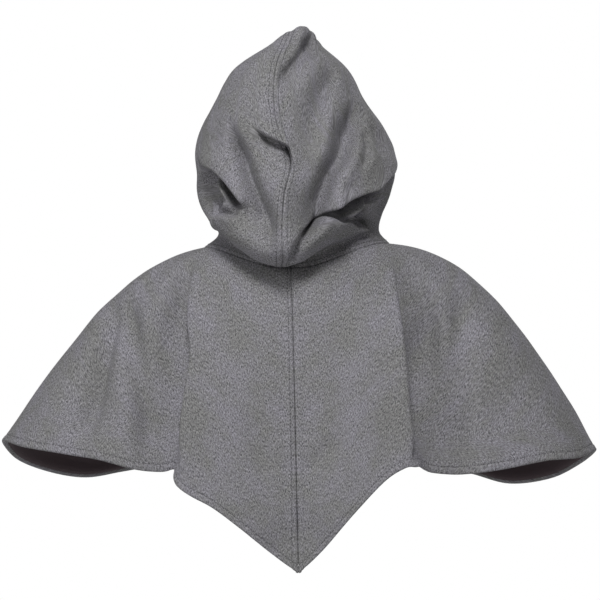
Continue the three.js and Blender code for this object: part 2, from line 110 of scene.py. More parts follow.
# Folds of the hood. A path runs over the cloth through places of turn and rise, turn being negative on
# the left half. Left and right are the two hands of someone who walks along it. lift is how far that
# side stands out, less than 0 for a hollow, and width how far the lift reaches. soft is the width of
# the step between the sides. slip is how far the left side's cloth slides over the right's, or the
# other way round if it is less than 0. These are in millimetres. grow and die are the shares of the
# path over which the fold starts and ends.
fold_columns = "path left_lift left_width right_lift right_width soft slip grow die".split()
hood_folds = [dict(zip(fold_columns, row)) for row in [
    # the crease between the left flank and the middle drape
    ([(-0.25, 0.65), (-0.23, 0.6), (-0.208, 0.552), (-0.18, 0.5), (-0.16, 0.46), (-0.127, 0.413),
      (-0.095, 0.367), (-0.075, 0.343), (-0.052, 0.315), (-0.037, 0.275), (-0.042, 0.233),
      (-0.045, 0.19)], -17, 9, -27, 15, 2, 0, 0.25, 0.2),
    # the deep valley right of the middle drape, and the drape's edge over the roll at its end
    ([(0.443, 0.695), (0.33, 0.635), (0.25, 0.58), (0.203, 0.53), (0.17, 0.492), (0.147, 0.46),
      (0.133, 0.4), (0.11, 0.343), (0.088, 0.305), (0.068, 0.273), (0.05, 0.247)],
     -30, 13, -32, 15, 2.5, 0, 0.25, 0.12),
    ([(0.12, 0.37), (0.1, 0.32), (0.077, 0.287), (0.057, 0.256), (0.035, 0.22), (0.02, 0.18),
      (0.012, 0.13)], -18, 14, 6, 14, 2, -4, 0.35, 0.25),
    # the shallow valley above it and the small one beside it
    ([(0.36, 0.85), (0.325, 0.815), (0.255, 0.763), (0.208, 0.718), (0.165, 0.662), (0.12, 0.588),
      (0.07, 0.522), (0.062, 0.453)], -15, 12, -15, 19, 4, 0, 0.2, 0.35),
    ([(0.4, 0.62), (0.375, 0.59), (0.323, 0.542), (0.282, 0.487), (0.265, 0.45), (0.258, 0.41)],
     -13, 8, -13, 12, 3, 0, 0.25, 0.35),
    # the dent right of the peak's seam
    ([(0.33, 0.963), (0.175, 0.907), (0.103, 0.855), (0.068, 0.82), (0.035, 0.782), (0.015, 0.745)],
     -15, 22, -15, 8, 2.5, 0, 0.25, 0.2),
    # the buckle, where the upper cloth laps over the lower
    ([(-0.13, 0.605), (-0.09, 0.59), (-0.047, 0.575), (-0.007, 0.558), (0.014, 0.543), (0.012, 0.517),
      (0.006, 0.475), (0.006, 0.44)], 7, 13, -17, 17, 1.8, 5, 0.3, 0.35),
    ([(-0.02, 0.48), (-0.01, 0.3), (0, 0.14)], 13, 20, 13, 22, 8, 0, 0.3, 0.3),
    ([(-0.035, 0.47), (-0.03, 0.38)], 3, 10, 3, 10, 4, 0, 0.5, 0.5),
    # the left flap over its pocket, the ridge inside and the roll below
    ([(-0.5, 0.472), (-0.403, 0.457), (-0.343, 0.453), (-0.278, 0.42), (-0.228, 0.385),
      (-0.188, 0.355), (-0.165, 0.325)], 7, 18, -36, 15, 2, 6, 0.35, 0.12),
    ([(-0.42, 0.455), (-0.338, 0.393), (-0.27, 0.348), (-0.25, 0.33)], 10, 8, -12, 20, 1.8, 0, 0.15, 0.2),
    ([(-0.44, 0.45), (-0.375, 0.385), (-0.335, 0.32), (-0.345, 0.25)],
     -20, 12, -30, 30, 4, 0, 0.2, 0.3),
    ([(-0.262, 0.352), (-0.285, 0.325), (-0.307, 0.295), (-0.335, 0.238)],
     6, 4, 6, 4, 2, 0, 0.2, 0.3),
    ([(-0.46, 0.385), (-0.43, 0.302), (-0.385, 0.235), (-0.33, 0.21)], -10, 16, -10, 16, 6, 0, 0.3, 0.3),
    ([(-0.35, 0.24), (-0.3, 0.283), (-0.24, 0.288), (-0.205, 0.294), (-0.165, 0.305)],
     -18, 12, 7, 14, 2.5, -3, 0.2, 0.3),
    ([(-0.2, 0.33), (-0.172, 0.318), (-0.1, 0.295), (-0.05, 0.275)], -13, 15, -13, 15, 4, 0, 0.3, 0.4),
    ([(-0.42, 0.15), (-0.3, 0.2), (-0.2, 0.22), (-0.08, 0.2)], 5, 18, 6, 22, 6, 0, 0.3, 0.3),
    # the right flap, its pocket, the facet in it and the roll below
    ([(0.035, 0.255), (0.055, 0.277), (0.08, 0.295), (0.109, 0.309), (0.151, 0.326), (0.194, 0.341),
      (0.24, 0.355)], 6, 18, -14, 8, 2, 5, 0.2, 0.3),
    ([(0.13, 0.32), (0.17, 0.334), (0.21, 0.347), (0.248, 0.357), (0.305, 0.367), (0.352, 0.369),
      (0.393, 0.407), (0.448, 0.434), (0.511, 0.462), (0.57, 0.5)], 11, 18, -40, 22, 2, 9, 0.15, 0.35),
    ([(0.12, 0.3), (0.153, 0.297), (0.193, 0.268), (0.231, 0.21), (0.281, 0.108), (0.331, 0.08),
      (0.39, 0.035)], -20, 14, 8, 16, 2, -5, 0.15, 0.2),
    ([(0.39, 0.36), (0.377, 0.345), (0.32, 0.265), (0.295, 0.17), (0.272, 0.14)],
     -14, 16, -4, 12, 3, 0, 0.1, 0.15),
    ([(0.03, 0.15), (0.1, 0.2), (0.18, 0.2), (0.25, 0.13), (0.33, 0.06)], 6, 16, 6, 18, 6, 0, 0.3, 0.3),
    ([(0.6, 0.55), (0.555, 0.465), (0.48, 0.345), (0.44, 0.2), (0.42, 0.1)],
     -9, 14, -4, 12, 5, 0, 0.25, 0.25),
    # the stand above the neck seam
    ([(-0.46, 0.05), (-0.2, 0.045), (0, 0.04), (0.2, 0.045), (0.46, 0.05)],
     -4, 12, -4, 12, 4, 0, 0.2, 0.2),
    # the roll's ends, which lie flatter than its middle
    ([(0.06, 0.16), (0.15, 0.17), (0.25, 0.16), (0.36, 0.13)], -16, 26, -16, 24, 8, 0, 0.3, 0.3),
    ([(-0.38, 0.15), (-0.28, 0.16), (-0.18, 0.17), (-0.1, 0.16)], -9, 24, -9, 24, 8, 0, 0.3, 0.35),
    # its lower edge, which laps over the stand at both sides
    ([(0.1, 0.035), (0.175, 0.045), (0.238, 0.05), (0.318, 0.06), (0.403, 0.065)],
     6, 9, -6, 8, 1.5, 4, 0.4, 0.2),
    ([(-0.44, 0.06), (-0.323, 0.055), (-0.245, 0.05), (-0.172, 0.045), (-0.1, 0.035)],
     6, 9, -3, 8, 1.5, 4, 0.2, 0.4),
    # the peak's knob
    ([(0.04, 0.962), (0.14, 0.964), (0.27, 0.96), (0.4, 0.95)], 12, 9, 12, 10, 4, 0, 0.35, 0.4),
    # broad sags between the creases
    ([(-0.46, 0.52), (-0.36, 0.49), (-0.24, 0.45)], 6, 18, 4, 14, 6, 0, 0.3, 0.35),
    ([(0.32, 0.47), (0.22, 0.44), (0.1, 0.38)], 4, 14, 5, 16, 6, 0, 0.3, 0.3),
    ([(0.38, 0.642), (0.343, 0.585), (0.302, 0.532), (0.262, 0.45)], 4, 10, 5, 10, 4, 0, 0.3, 0.3),
    ([(0.465, 0.633), (0.42, 0.565), (0.4, 0.497)], -7, 18, -5, 12, 8, 0, 0.3, 0.3),
    ([(0.26, 0.7), (0.15, 0.55), (0.1, 0.44)], 4, 12, 5, 16, 6, 0, 0.3, 0.3),
]]
fold_run = 1.33 * hood_height  # the cloth in a whole turn or rise
path_steps = 5  # the steps of a fold's line from one of its places to the next
fold_backward = 0.75  # how much of a fold of the back goes straight backward
backward_turn = 0.42  # the turn at which that ends, and its runs there and below the top
backward_turn_run = 0.16
backward_top_run = 0.12
top_meeting = 0.95  # the rise from which the halves' directions meet, and the run to the top
top_meeting_run = 0.05
direction_step = 0.008


def between(rows, where):
    """Smooth values between a table's rows. The first column is the place, and slopes are the neighbours'."""
    last = len(rows) - 1
    before = rows[np.maximum(np.arange(last + 1) - 1, 0)]
    after = rows[np.minimum(np.arange(last + 1) + 1, last)]
    slope = (after - before) / (after[:, :1] - before[:, :1])
    i = np.clip(np.searchsorted(rows[:, 0], where) - 1, 0, last - 1)
    span = (rows[i + 1, 0] - rows[i, 0])[:, None]
    t = (where - rows[i, 0])[:, None] / span
    climb = rows[i + 1] - rows[i]
    early = slope[i] * span - climb
    late = climb - slope[i + 1] * span
    return rows[i] + t * climb + t * (1 - t) * (early * (1 - t) + late * t)


def hood_half_form(side, turn, rise):
    """One half's outer face before its folds. turn runs from the centre back to the face edge."""
    at = dict(zip(section_columns, between(hood_rings, rise).T))
    hand = "left" if side < 0 else "right"
    half, up, dip = at[hand], at[f"{hand}_up"], at[f"{hand}_dip"]
    seam_x = at["seam"]
    side_x = seam_x + side * np.maximum(half - side * at["seam"], 0)
    angle = turn / at["side_turn"] * math.pi / 2
    middle = np.clip(np.cos(angle), 0, 1)
    behind = np.stack([
        seam_x + (side_x - seam_x) * np.sin(angle),
        at["side"] - (at["back"] + at["side"]) * middle,
        up + (at["back_up"] - up) * middle**dip,
    ], axis=-1)
    share = (turn - at["side_turn"]) / (1 - at["side_turn"])
    turn_in = np.radians(at["turn_in"])
    edge_x = side * np.maximum(at["edge"], 0)
    ahead = np.stack([
        side_x + (edge_x - side_x) * (1 - np.cos(turn_in * share)) / (1 - np.cos(turn_in)),
        at["side"] + (at["edge_out"] - at["side"]) * np.sin(turn_in * share) / np.sin(turn_in),
        up + (at["edge_up"] - up) * share,
    ], axis=-1)
    return np.where((turn <= at["side_turn"])[:, None], behind, ahead)


def both_halves(half_form):
    """The form that two halves make, with turn less than 0 on the left."""
    def form(side, turn, along):
        along = np.clip(along, 0, 1)
        on_left = np.where(turn == 0, side, turn) < 0
        reach = np.clip(np.abs(turn), 0, 1)
        return np.where(on_left[:, None], half_form(-1, reach, along), half_form(1, reach, along))

    return form


hood_form = both_halves(hood_half_form)


def outward(form, side, turn, along, upward):
    """A form's outward direction, from its runs both ways."""
    step = direction_step
    t = np.clip(turn, step - 1, 1 - step)
    a = np.clip(along, step, 1 - step)
    across = form(side, t + step, a) - form(side, t - step, a)
    down = form(side, t, a + step) - form(side, t, a - step)
    direction = np.cross(across, down) * upward
    return direction / np.linalg.norm(direction, axis=1)[:, None]


def hood_outward(side, turn, rise):
    """The hood's outward direction. Towards the top seam it turns to the mean of the two halves'."""
    own = outward(hood_form, side, turn, rise, 1)
    other = outward(hood_form, -side, -turn, rise, 1)
    mean = own + other * fade((rise - top_meeting) / top_meeting_run)[:, None]
    return mean / np.linalg.norm(mean, axis=1)[:, None]


def smooth_path(places):
    """A smooth line through places."""
    knots = np.array(places, float)
    rows = np.hstack([np.arange(len(knots))[:, None], knots])
    return between(rows, np.linspace(0, len(knots) - 1, path_steps * (len(knots) - 1) + 1))[:, 1:]


def step_between(left, right, across, soft):
    """The left side's value on the left of a fold and the right's on its right, with a soft step between."""
    share = 0.5 + 0.5 * np.tanh(across / soft)
    return share * left + (1 - share) * right


def side_lifts(fold, across):
    """How far a fold lifts the cloth at a distance across it, more than 0 on its left."""
    left = fold["left_lift"] * np.exp(-(across / fold["left_width"]) ** 2)
    right = fold["right_lift"] * np.exp(-(across / fold["right_width"]) ** 2)
    return step_between(left, right, across, fold["soft"])


def fade(share):
    """0 at 0 and 1 at 1, flat at both ends."""
    t = np.clip(share, 0, 1)
    return t * t * (3 - 2 * t)


def fold_direction(direction, turn, rise):
    """Folds of the back rise and sink mostly straight backward, and others along the cloth's own face."""
    at_back = fade((backward_turn - np.abs(turn)) / backward_turn_run)
    backward = fold_backward * (at_back * fade((1 - rise) / backward_top_run))[:, None]
    mean = direction * (1 - backward) + np.array([0, -1, 0]) * backward
    return mean / np.linalg.norm(mean, axis=1)[:, None]


def fold_pull(folds, place, locate, up):
    """How far folds lift the cloth at each place, and how far they slide it. locate gives a path's places."""
    lift = np.zeros(len(place))
    slide = np.zeros((len(place), 3))
    for fold in folds:
        path = locate(smooth_path(fold["path"]))
        run = np.diff(path, axis=0)
        length = np.linalg.norm(run, axis=1)
        start = np.concatenate([[0], np.cumsum(length)[:-1]])
        offset = place[:, None] - path[None, :-1]
        share = np.clip((offset * run).sum(-1) / length**2, 0, 1)
        apart = offset - share[..., None] * run
        nearest = np.argmin((apart**2).sum(-1), axis=1)
        pick = np.arange(len(place)), nearest
        direction = run[nearest] / length[nearest][:, None]
        leftward = np.cross(up, direction)
        across = np.sign((leftward * offset[pick]).sum(-1)) * np.linalg.norm(apart[pick], axis=1)
        along = (start[nearest] + share[pick] * length[nearest]) / length.sum()
        taper = fade(along / fold["grow"]) * fade((1 - along) / fold["die"])
        lift += taper * side_lifts(fold, across)
        if fold["slip"]:
            hand = 1 if fold["slip"] > 0 else -1
            width = fold["left_width"] if hand > 0 else fold["right_width"]
            reach = 0.5 + 0.5 * np.tanh(hand * across / fold["soft"])
            amount = fold["slip"] * taper * reach * np.exp(-(across / width) ** 2)
            slide -= amount[:, None] * leftward
    return lift, slide


wave_draw = np.random.default_rng(7)


def cloth_waves(count, shortest, longest):
    """Faint waves that heavy cloth keeps from wear, each with its own length, heading and phase."""
    lengths = wave_draw.uniform(shortest, longest, count)
    headings = wave_draw.uniform(0, math.pi, count)
    phases = wave_draw.uniform(0, 2 * math.pi, count)
    ahead = 2 * math.pi / lengths

    def height(x, y):
        total = np.zeros(np.shape(x))
        for k in range(count):
            run = x * math.cos(headings[k]) + y * math.sin(headings[k])
            total += lengths[k] / longest * np.sin(ahead[k] * run + phases[k])
        return total / math.sqrt(count)

    return height


# A seam that is pressed open under two rows of stitches: a groove at the middle, the cloth proud over
# its allowances from beside the groove to past the stitches, and a small trough along the stitches.
seam_groove = 1.1
groove_width = 1.1
seam_rise = 1.3
proud_start = -1
proud_start_run = 3
proud_end = 6
proud_end_run = 7
stitch_trough = 0.9
trough_width = 0.8
stitch_offset = 6.0
seam_columns = [0, 0.7, 1.5, 2.5, 3.6, 4.8, 5.5, 6.0, 6.5, 7.2, 8.5, 10.5, 13]


def seam_relief(distance, groove_depth, trough_depth):
    """How far the cloth stands out at a distance from its seam."""
    groove = -groove_depth * np.exp(-(distance / groove_width) ** 2)
    proud = seam_rise * fade((distance - proud_start) / proud_start_run)
    proud = proud * (1 - fade((distance - proud_end) / proud_end_run))
    trough = -trough_depth * np.exp(-((distance - stitch_offset) / trough_width) ** 2)
    return groove + proud + trough


def lay_columns(fine, total, count, widening):
    """Distances along a run: the fine ones near its seam, and then ones up to its length that widen."""
    fine = np.array(fine, float)
    rest = np.linspace(0, 1, count - len(fine) + 2)[1:] ** widening
    return np.concatenate([
        np.broadcast_to(fine, (len(total), len(fine))),
        fine[-1] + rest[None] * (total[:, None] - fine[-1]),
    ], axis=1)


def grid_directions(points, outward_sign):
    """The outward direction at each place of a grid."""
    along_row = np.gradient(points, axis=1)
    along_column = np.gradient(points, axis=0)
    normal = np.cross(along_row, along_column) * outward_sign
    normal /= np.maximum(np.linalg.norm(normal, axis=2), 1e-9)[..., None]
    return normal


def relaxed(points, passes):
    """The grid's inner places drawn half way to their neighbours' mean, as stiff cloth rounds creases."""
    points = points.copy()
    for _ in range(passes):
        inner = points[1:-1, 1:-1]
        mean = (points[:-2, 1:-1] + points[2:, 1:-1] + points[1:-1, :-2] + points[1:-1, 2:]) / 4
        points[1:-1, 1:-1] = inner + 0.5 * (mean - inner)
    return points


bend_rows = 6
band_rows = 5


def along_columns(places, lengths, reach):
    """The place of each column of a grid that lies at a reach, one for them all or one for each."""
    reaches = np.broadcast_to(reach, places.shape[1:2])
    return np.array([
        [np.interp(reaches[i], lengths[:, i], places[:, i, axis]) for axis in range(3)]
        for i in range(len(reaches))
    ])


def turned_edge(points, normal, width):
    """More rows at a grid's end, where the cloth turns in over its own back and lies there for a width."""
    last = points[-1]
    ahead = last - points[-2]
    ahead /= np.linalg.norm(ahead, axis=1)[:, None]
    centre = last - fold_over * normal[-1]
    angles = np.linspace(0, math.pi, bend_rows + 1)[1:]
    bend = [centre + fold_over * (normal[-1] * math.cos(a) + ahead * math.sin(a)) for a in angles]
    lengths = np.linalg.norm(np.diff(points[::-1], axis=0), axis=2)
    back = np.concatenate([np.zeros((1, points.shape[1])), np.cumsum(lengths, axis=0)])
    inner = (points - 2 * fold_over * normal)[::-1]
    band = [along_columns(inner, back, reach) for reach in np.linspace(0, width, band_rows + 1)[1:]]
    return np.concatenate([points, bend, band])


def cloth_lengths(points):
    """How far each place of a grid lies along its row and its column, over the cloth, in metres."""
    across = np.linalg.norm(np.diff(points, axis=1), axis=2)
    up = np.linalg.norm(np.diff(points, axis=0), axis=2)
    u = np.concatenate([np.zeros((len(points), 1)), np.cumsum(across, axis=1)], axis=1)
    v = np.concatenate([np.zeros((1, points.shape[1])), np.cumsum(up, axis=0)])
    return np.stack([u, v], axis=-1) * millimetre


def finished(name, bm, material):
    """The scene's object of a bmesh."""
    mesh = bpy.data.meshes.new(name)
    bm.to_mesh(mesh)
    bm.free()
    mesh.shade_smooth()
    mesh.materials.append(material)
    piece = bpy.data.objects.new(name, mesh)
    bpy.context.scene.collection.objects.link(piece)
    return piece


def cloth_piece(name, points, thickness, faces_back, material):
    """A sheet of cloth over a grid of places, with its thickness inward and its cloth lengths as UV."""
    rows, columns = points.shape[0] - 1, points.shape[1] - 1
    lengths = cloth_lengths(points)
    bm = bmesh.new()
    bmesh.ops.create_grid(bm, x_segments=columns, y_segments=rows, size=1)
    uv = bm.loops.layers.uv.new("cloth")
    for vertex in bm.verts:
        i = round((vertex.co.x + 1) / 2 * columns)
        j = round((vertex.co.y + 1) / 2 * rows)
        vertex.co = Vector(points[j, i] * millimetre)
        for loop in vertex.link_loops:
            loop[uv].uv = lengths[j, i]
    if faces_back:
        bmesh.ops.reverse_faces(bm, faces=bm.faces[:])
    piece = finished(name, bm, material)
    wall = piece.modifiers.new("wall", "SOLIDIFY")
    wall.thickness = thickness * millimetre
    wall.offset = -1
    return piece


def set_inputs(made, values):
    for name, value in dict(values).items():
        made.inputs[name].default_value = value


def node(tree, kind, place, inputs=(), **values):
    """A shader node at a place in its tree, with its properties and unlinked inputs set by name."""
    made = tree.nodes.new(kind)
    made.location = place
    for name, value in values.items():
        setattr(made, name, value)
    set_inputs(made, inputs)
    return made


def two_colours(tree, place, dark, light, start=0, end=1):
    """A ramp from one colour to another between two positions."""
    made = node(tree, "ShaderNodeValToRGB", place)
    for stop, position, colour in zip(made.color_ramp.elements, (start, end), (dark, light)):
        stop.position = position
        stop.color = (*colour, 1)
    return made


def new_material(name, inputs):
    """A material with its tree, the tree's links and the shader, whose unlinked inputs are set."""
    material = bpy.data.materials.new(name)
    material.use_nodes = True
    tree = material.node_tree
    shader = tree.nodes["Principled BSDF"]
    set_inputs(shader, inputs)
    return material, tree, tree.links.new, shader


def wool_material(dark, light, tint):
    """Felted wool: dark and light fibres milled together, a soft nap and faint tints."""
    material, tree, link, shader = new_material("grey melange wool", {
        "Roughness": 0.96, "Specular IOR Level": 0.1, "Sheen Weight": 0.06, "Sheen Roughness": 0.55,
        "Sheen Tint": (0.8, 0.8, 0.86, 1),
    })
    cloth = node(tree, "ShaderNodeTexCoord", (-1500, 0))
    # milled fibres, longer up the cloth than across it, and thinner strands at a slant
    nap = node(tree, "ShaderNodeMapping", (-1300, 200), {"Scale": (1, 0.62, 1)})
    link(cloth.outputs["UV"], nap.inputs["Vector"])
    fibres = node(tree, "ShaderNodeTexNoise", (-1100, 300), {"Scale": 600, "Detail": 4, "Roughness": 0.72})
    link(nap.outputs["Vector"], fibres.inputs["Vector"])
    slant_angle = (0, 0, math.radians(38))
    slant = node(tree, "ShaderNodeMapping", (-1300, -100), {"Rotation": slant_angle, "Scale": (1, 0.4, 1)})
    link(cloth.outputs["UV"], slant.inputs["Vector"])
    strands = node(tree, "ShaderNodeTexNoise", (-1100, 0), {"Scale": 920, "Detail": 3, "Distortion": 0.6})
    link(slant.outputs["Vector"], strands.inputs["Vector"])
    blend = node(tree, "ShaderNodeMix", (-850, 200), {"Factor": 0.4}, data_type="FLOAT")
    link(fibres.outputs["Fac"], blend.inputs[2])
    link(strands.outputs["Fac"], blend.inputs[3])
    colours = two_colours(tree, (-600, 200), dark, light, 0.38, 0.64)
    link(blend.outputs[0], colours.inputs["Fac"])
    # lighter and darker patches with faint blue and warm tints, a few centimetres across
    clouds = node(tree, "ShaderNodeTexNoise", (-850, -250), {"Scale": 15, "Detail": 7, "Roughness": 0.68})
    link(cloth.outputs["UV"], clouds.inputs["Vector"])
    warm, cool = (0.9, 0.9, 0.9 - tint), (1.06, 1.04, 1.07 + tint)
    tints = two_colours(tree, (-600, -250), warm, cool, 0.4, 0.6)
    link(clouds.outputs["Fac"], tints.inputs["Fac"])
    kind = {"data_type": "RGBA", "blend_type": "MULTIPLY"}
    tinted = node(tree, "ShaderNodeMix", (-250, 100), {"Factor": 1}, **kind)
    link(colours.outputs["Color"], tinted.inputs[6])
    link(tints.outputs["Color"], tinted.inputs[7])
    link(tinted.outputs[2], shader.inputs["Base Color"])
    fuzz = node(tree, "ShaderNodeBump", (-250, -300), {"Strength": 0.55, "Distance": 0.0009})
    link(blend.outputs[0], fuzz.inputs["Height"])
    link(fuzz.outputs["Normal"], shader.inputs["Normal"])
    return material


wool = wool_material((0.045, 0.045, 0.047), (0.415, 0.412, 0.428), 0.035)
hood_waves = cloth_waves(14, 34, 110)
hood_wave_height = 1.1
wave_margin = 0.08  # the shares of turn and rise over which waves and slips fade to the edges
slip_margin_turn = 0.1
slip_margin_rise = 0.05
upper_groove = 0.35  # the seam's groove above the buckle, as a share of the groove below
buckle_rise = 0.59
buckle_run = 0.05
hood_column_count = 208
hood_row_count = 200
column_widening = 1.25
hood_relaxing = 2
form_samples = 320


def hood_cloth(side, turn, rise, seam_distance):
    """The hood's outer face with its folds, seams and waves. turn is less than 0 on the left half."""
    def locate(path):
        return np.column_stack([path * fold_run, np.zeros(len(path))])

    lift, slide = fold_pull(hood_folds, locate(np.column_stack([turn, rise])), locate, [[0, 0, 1]])
    slide = slide / fold_run
    slid_turn = turn + slide[:, 0] * fade((1 - np.abs(turn)) / slip_margin_turn)
    slid_rise = rise + slide[:, 1] * fade(np.minimum(rise, 1 - rise) / slip_margin_rise)
    direction = hood_outward(side, slid_turn, slid_rise)
    inside = fade(np.minimum(1 - np.abs(turn), rise) / wave_margin)
    waves = hood_wave_height * inside * hood_waves(turn * fold_run, rise * fold_run)
    groove = seam_groove * (upper_groove + (1 - upper_groove) * fade((buckle_rise - rise) / buckle_run))
    raised = waves + seam_relief(seam_distance, groove, stitch_trough)
    folded = hood_form(side, slid_turn, slid_rise) + fold_direction(direction, turn, rise) * lift[:, None]
    return folded + direction * raised[:, None]


def run_shares(form, side, others, sideways):
    """For each row of a form, how far over the cloth each of its even shares lies from the start."""
    shares = np.linspace(0, 1, form_samples + 1)
    grid = np.meshgrid(shares, others)
    turn, along = (side * grid[0], grid[1]) if sideways else (side * grid[1], grid[0])
    points = form(side, turn.ravel(), along.ravel()).reshape(*turn.shape, 3)
    steps = np.linalg.norm(np.diff(points, axis=1), axis=2)
    return shares, np.concatenate([np.zeros((len(others), 1)), np.cumsum(steps, axis=1)], axis=1)


def hood_grid(side):
    """Turn, rise and distance from the centre seam for every place of one half's grid."""
    middle = 0.25  # the turn at which the rows are laid out
    shares, climbs = run_shares(hood_form, side, np.array([middle]), False)
    height = climbs[0, -1]
    from_top = lay_columns(seam_columns, np.array([height]), hood_row_count, 1)[0]
    rises = np.interp(height - from_top[::-1], climbs[0], shares)
    rises[0], rises[-1] = 0, 1
    _, reaches = run_shares(hood_form, side, rises, True)
    columns = lay_columns(seam_columns, reaches[:, -1] - fold_over, hood_column_count, column_widening)
    turns = np.array([np.interp(columns[j], reaches[j], shares) for j in range(len(rises))])
    turns[:, 0] = 0
    rise = np.broadcast_to(rises[:, None], turns.shape)
    top = np.broadcast_to(from_top[::-1][:, None], turns.shape)
    return turns, rise, np.minimum(columns, top)


def hood_half(side, word):
    """One half with its turned-in face edge, and the places and directions that the stitches follow."""
    turns, rise, distance = hood_grid(side)
    flat = hood_cloth(side, (side * turns).ravel(), rise.ravel(), distance.ravel())
    points = relaxed(flat.reshape(*turns.shape, 3), hood_relaxing)
    normal = grid_directions(points, side)
    columns = turned_edge(points.transpose(1, 0, 2), normal.transpose(1, 0, 2), face_hem_width)
    whole = columns.transpose(1, 0, 2)
    piece = cloth_piece(f"hood_{word}", whole, wool_thickness, side < 0, wool)
    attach(piece, "root")
    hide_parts(f"hood_panel_{word}", f"face_hem_{word}")
    return piece, points, normal, whole


hood_halves = {word: hood_half(side, word) for word, side in (("left", -1), ("right", 1))}

# The allowances of the centre seam: the panels' own wool, pressed back on the inside of each half from the
# neck to near the face edge, and held down by the rows of stitches beside the seam.
seam_allowance_width = 9
allowance_start = 0.25
allowance_end = 0.97
allowance_strips = 6
allowance_turn = 0.02  # the turn at which the way up to the top is measured
allowance_depth = wool_thickness + layer_gap
allowance_thickness = 1.5


def hood_allowance(side, word):
    """A strip inside the seam: up the centre back, mitred round the peak and forward over the top."""
    across = np.linspace(allowance_start, seam_allowance_width, allowance_strips)
    _, climbs = run_shares(hood_form, side, np.array([allowance_turn]), False)
    ups = np.linspace(0, 1, 91)
    aheads = np.linspace(0, allowance_end, 61)[1:]
    turns, rises, distances = [], [], []
    for away in across:
        top = 1 - away / climbs[0, -1]
        shares, reaches = run_shares(hood_form, side, ups * top, True)
        back = np.array([np.interp(away, reach, shares) for reach in reaches])
        over = back[-1] + (allowance_end - back[-1]) * aheads / allowance_end
        turns.append(np.concatenate([back, over]))
        rises.append(np.concatenate([ups * top, np.full(len(aheads), top)]))
        distances.append(np.full(len(back) + len(aheads), away))
    turn, rise = np.array(turns).T, np.array(rises).T
    flat = hood_cloth(side, (side * turn).ravel(), rise.ravel(), np.array(distances).T.ravel())
    points = flat.reshape(*turn.shape, 3)
    normal = grid_directions(points, side)
    points = points - normal * allowance_depth
    piece = cloth_piece(f"hood_seam_allowance_{word}_cloth", points, allowance_thickness, side < 0, wool)
    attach(piece, "root")
    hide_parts(f"hood_seam_allowance_{word}")


for word, side in (("left", -1), ("right", 1)):
    hood_allowance(side, word)

# The shoulder mantle's two halves, sewn at the centre back and the centre front. Each falls from the neck
# seam over the shoulder into folds, and its hem is turned up inside and stitched.
neck_seam_gap = 0.6
hem_width = 13
mantle_reach = 390
mantle_back_reach = 158
mantle_front_reach = 154
mantle_drop = 264
point_drop = 143
flute_depth = 8
shoulder_weight = 1.4

# Ribs of the mantle, each a run of the cloth from the neck seam to the hem. turn is the share of the
# half loop from the centre back to the centre front. reach, depth and drop are the hem's place, as
# shares of mantle_reach, of mantle_back_reach or mantle_front_reach, and of mantle_drop. point is a
# share of point_drop. The last three do the same for the bend over the shoulder.
rib_columns = "reach depth drop point bend_reach bend_depth bend_drop".split()
right_ribs = np.array([
    [0.0, 0.005, -1.0, 1.0, 1.0, -0.012, -0.81, 0.27],
    [0.07, 0.1, -1.02, 1.0, 0.74, 0.083, -0.81, 0.27],
    [0.14, 0.2, -1.02, 1.0, 0.43, 0.178, -0.8, 0.26],
    [0.2, 0.285, -1.01, 1.0, 0.19, 0.262, -0.77, 0.23],
    [0.25, 0.347, -0.99, 1.0, 0.09, 0.325, -0.72, 0.18],
    [0.285, 0.383, -0.95, 1.0, 0.08, 0.364, -0.67, 0.145],
    [0.31, 0.397, -0.87, 1.0, 0.085, 0.385, -0.62, 0.12],
    [0.335, 0.402, -0.75, 1.0, 0.1, 0.4, -0.56, 0.1],
    [0.36, 0.44, -0.68, 1.085, 0, 0.425, -0.51, 0.08],
    [0.395, 0.535, -0.71, 1.09, 0, 0.468, -0.47, 0.055],
    [0.43, 0.66, -0.68, 1.07, 0, 0.51, -0.42, 0.04],
    [0.46, 0.81, -0.58, 1.03, 0, 0.565, -0.32, 0.03],
    [0.48, 0.925, -0.4, 1.02, 0, 0.608, -0.19, 0.025],
    [0.5, 1.0, 0.0, 1.0, 0, 0.626, 0, 0.023],
    [0.52, 0.96, 0.33, 1.08, 0, 0.615, 0.18, 0.025],
    [0.545, 0.87, 0.54, 1.16, 0, 0.583, 0.32, 0.035],
    [0.575, 0.73, 0.64, 1.19, 0, 0.54, 0.38, 0.05],
    [0.61, 0.595, 0.68, 1.14, 0, 0.485, 0.48, 0.075],
    [0.65, 0.46, 0.73, 1.11, 0, 0.42, 0.57, 0.115],
    [0.72, 0.333, 0.86, 1.1, 0, 0.322, 0.68, 0.18],
    [0.8, 0.226, 0.95, 1.11, 0, 0.22, 0.75, 0.25],
    [0.9, 0.113, 0.99, 1.12, 0, 0.108, 0.79, 0.3],
    [1.0, 0.0, 1.0, 1.12, 0, 0, 0.81, 0.31],
])
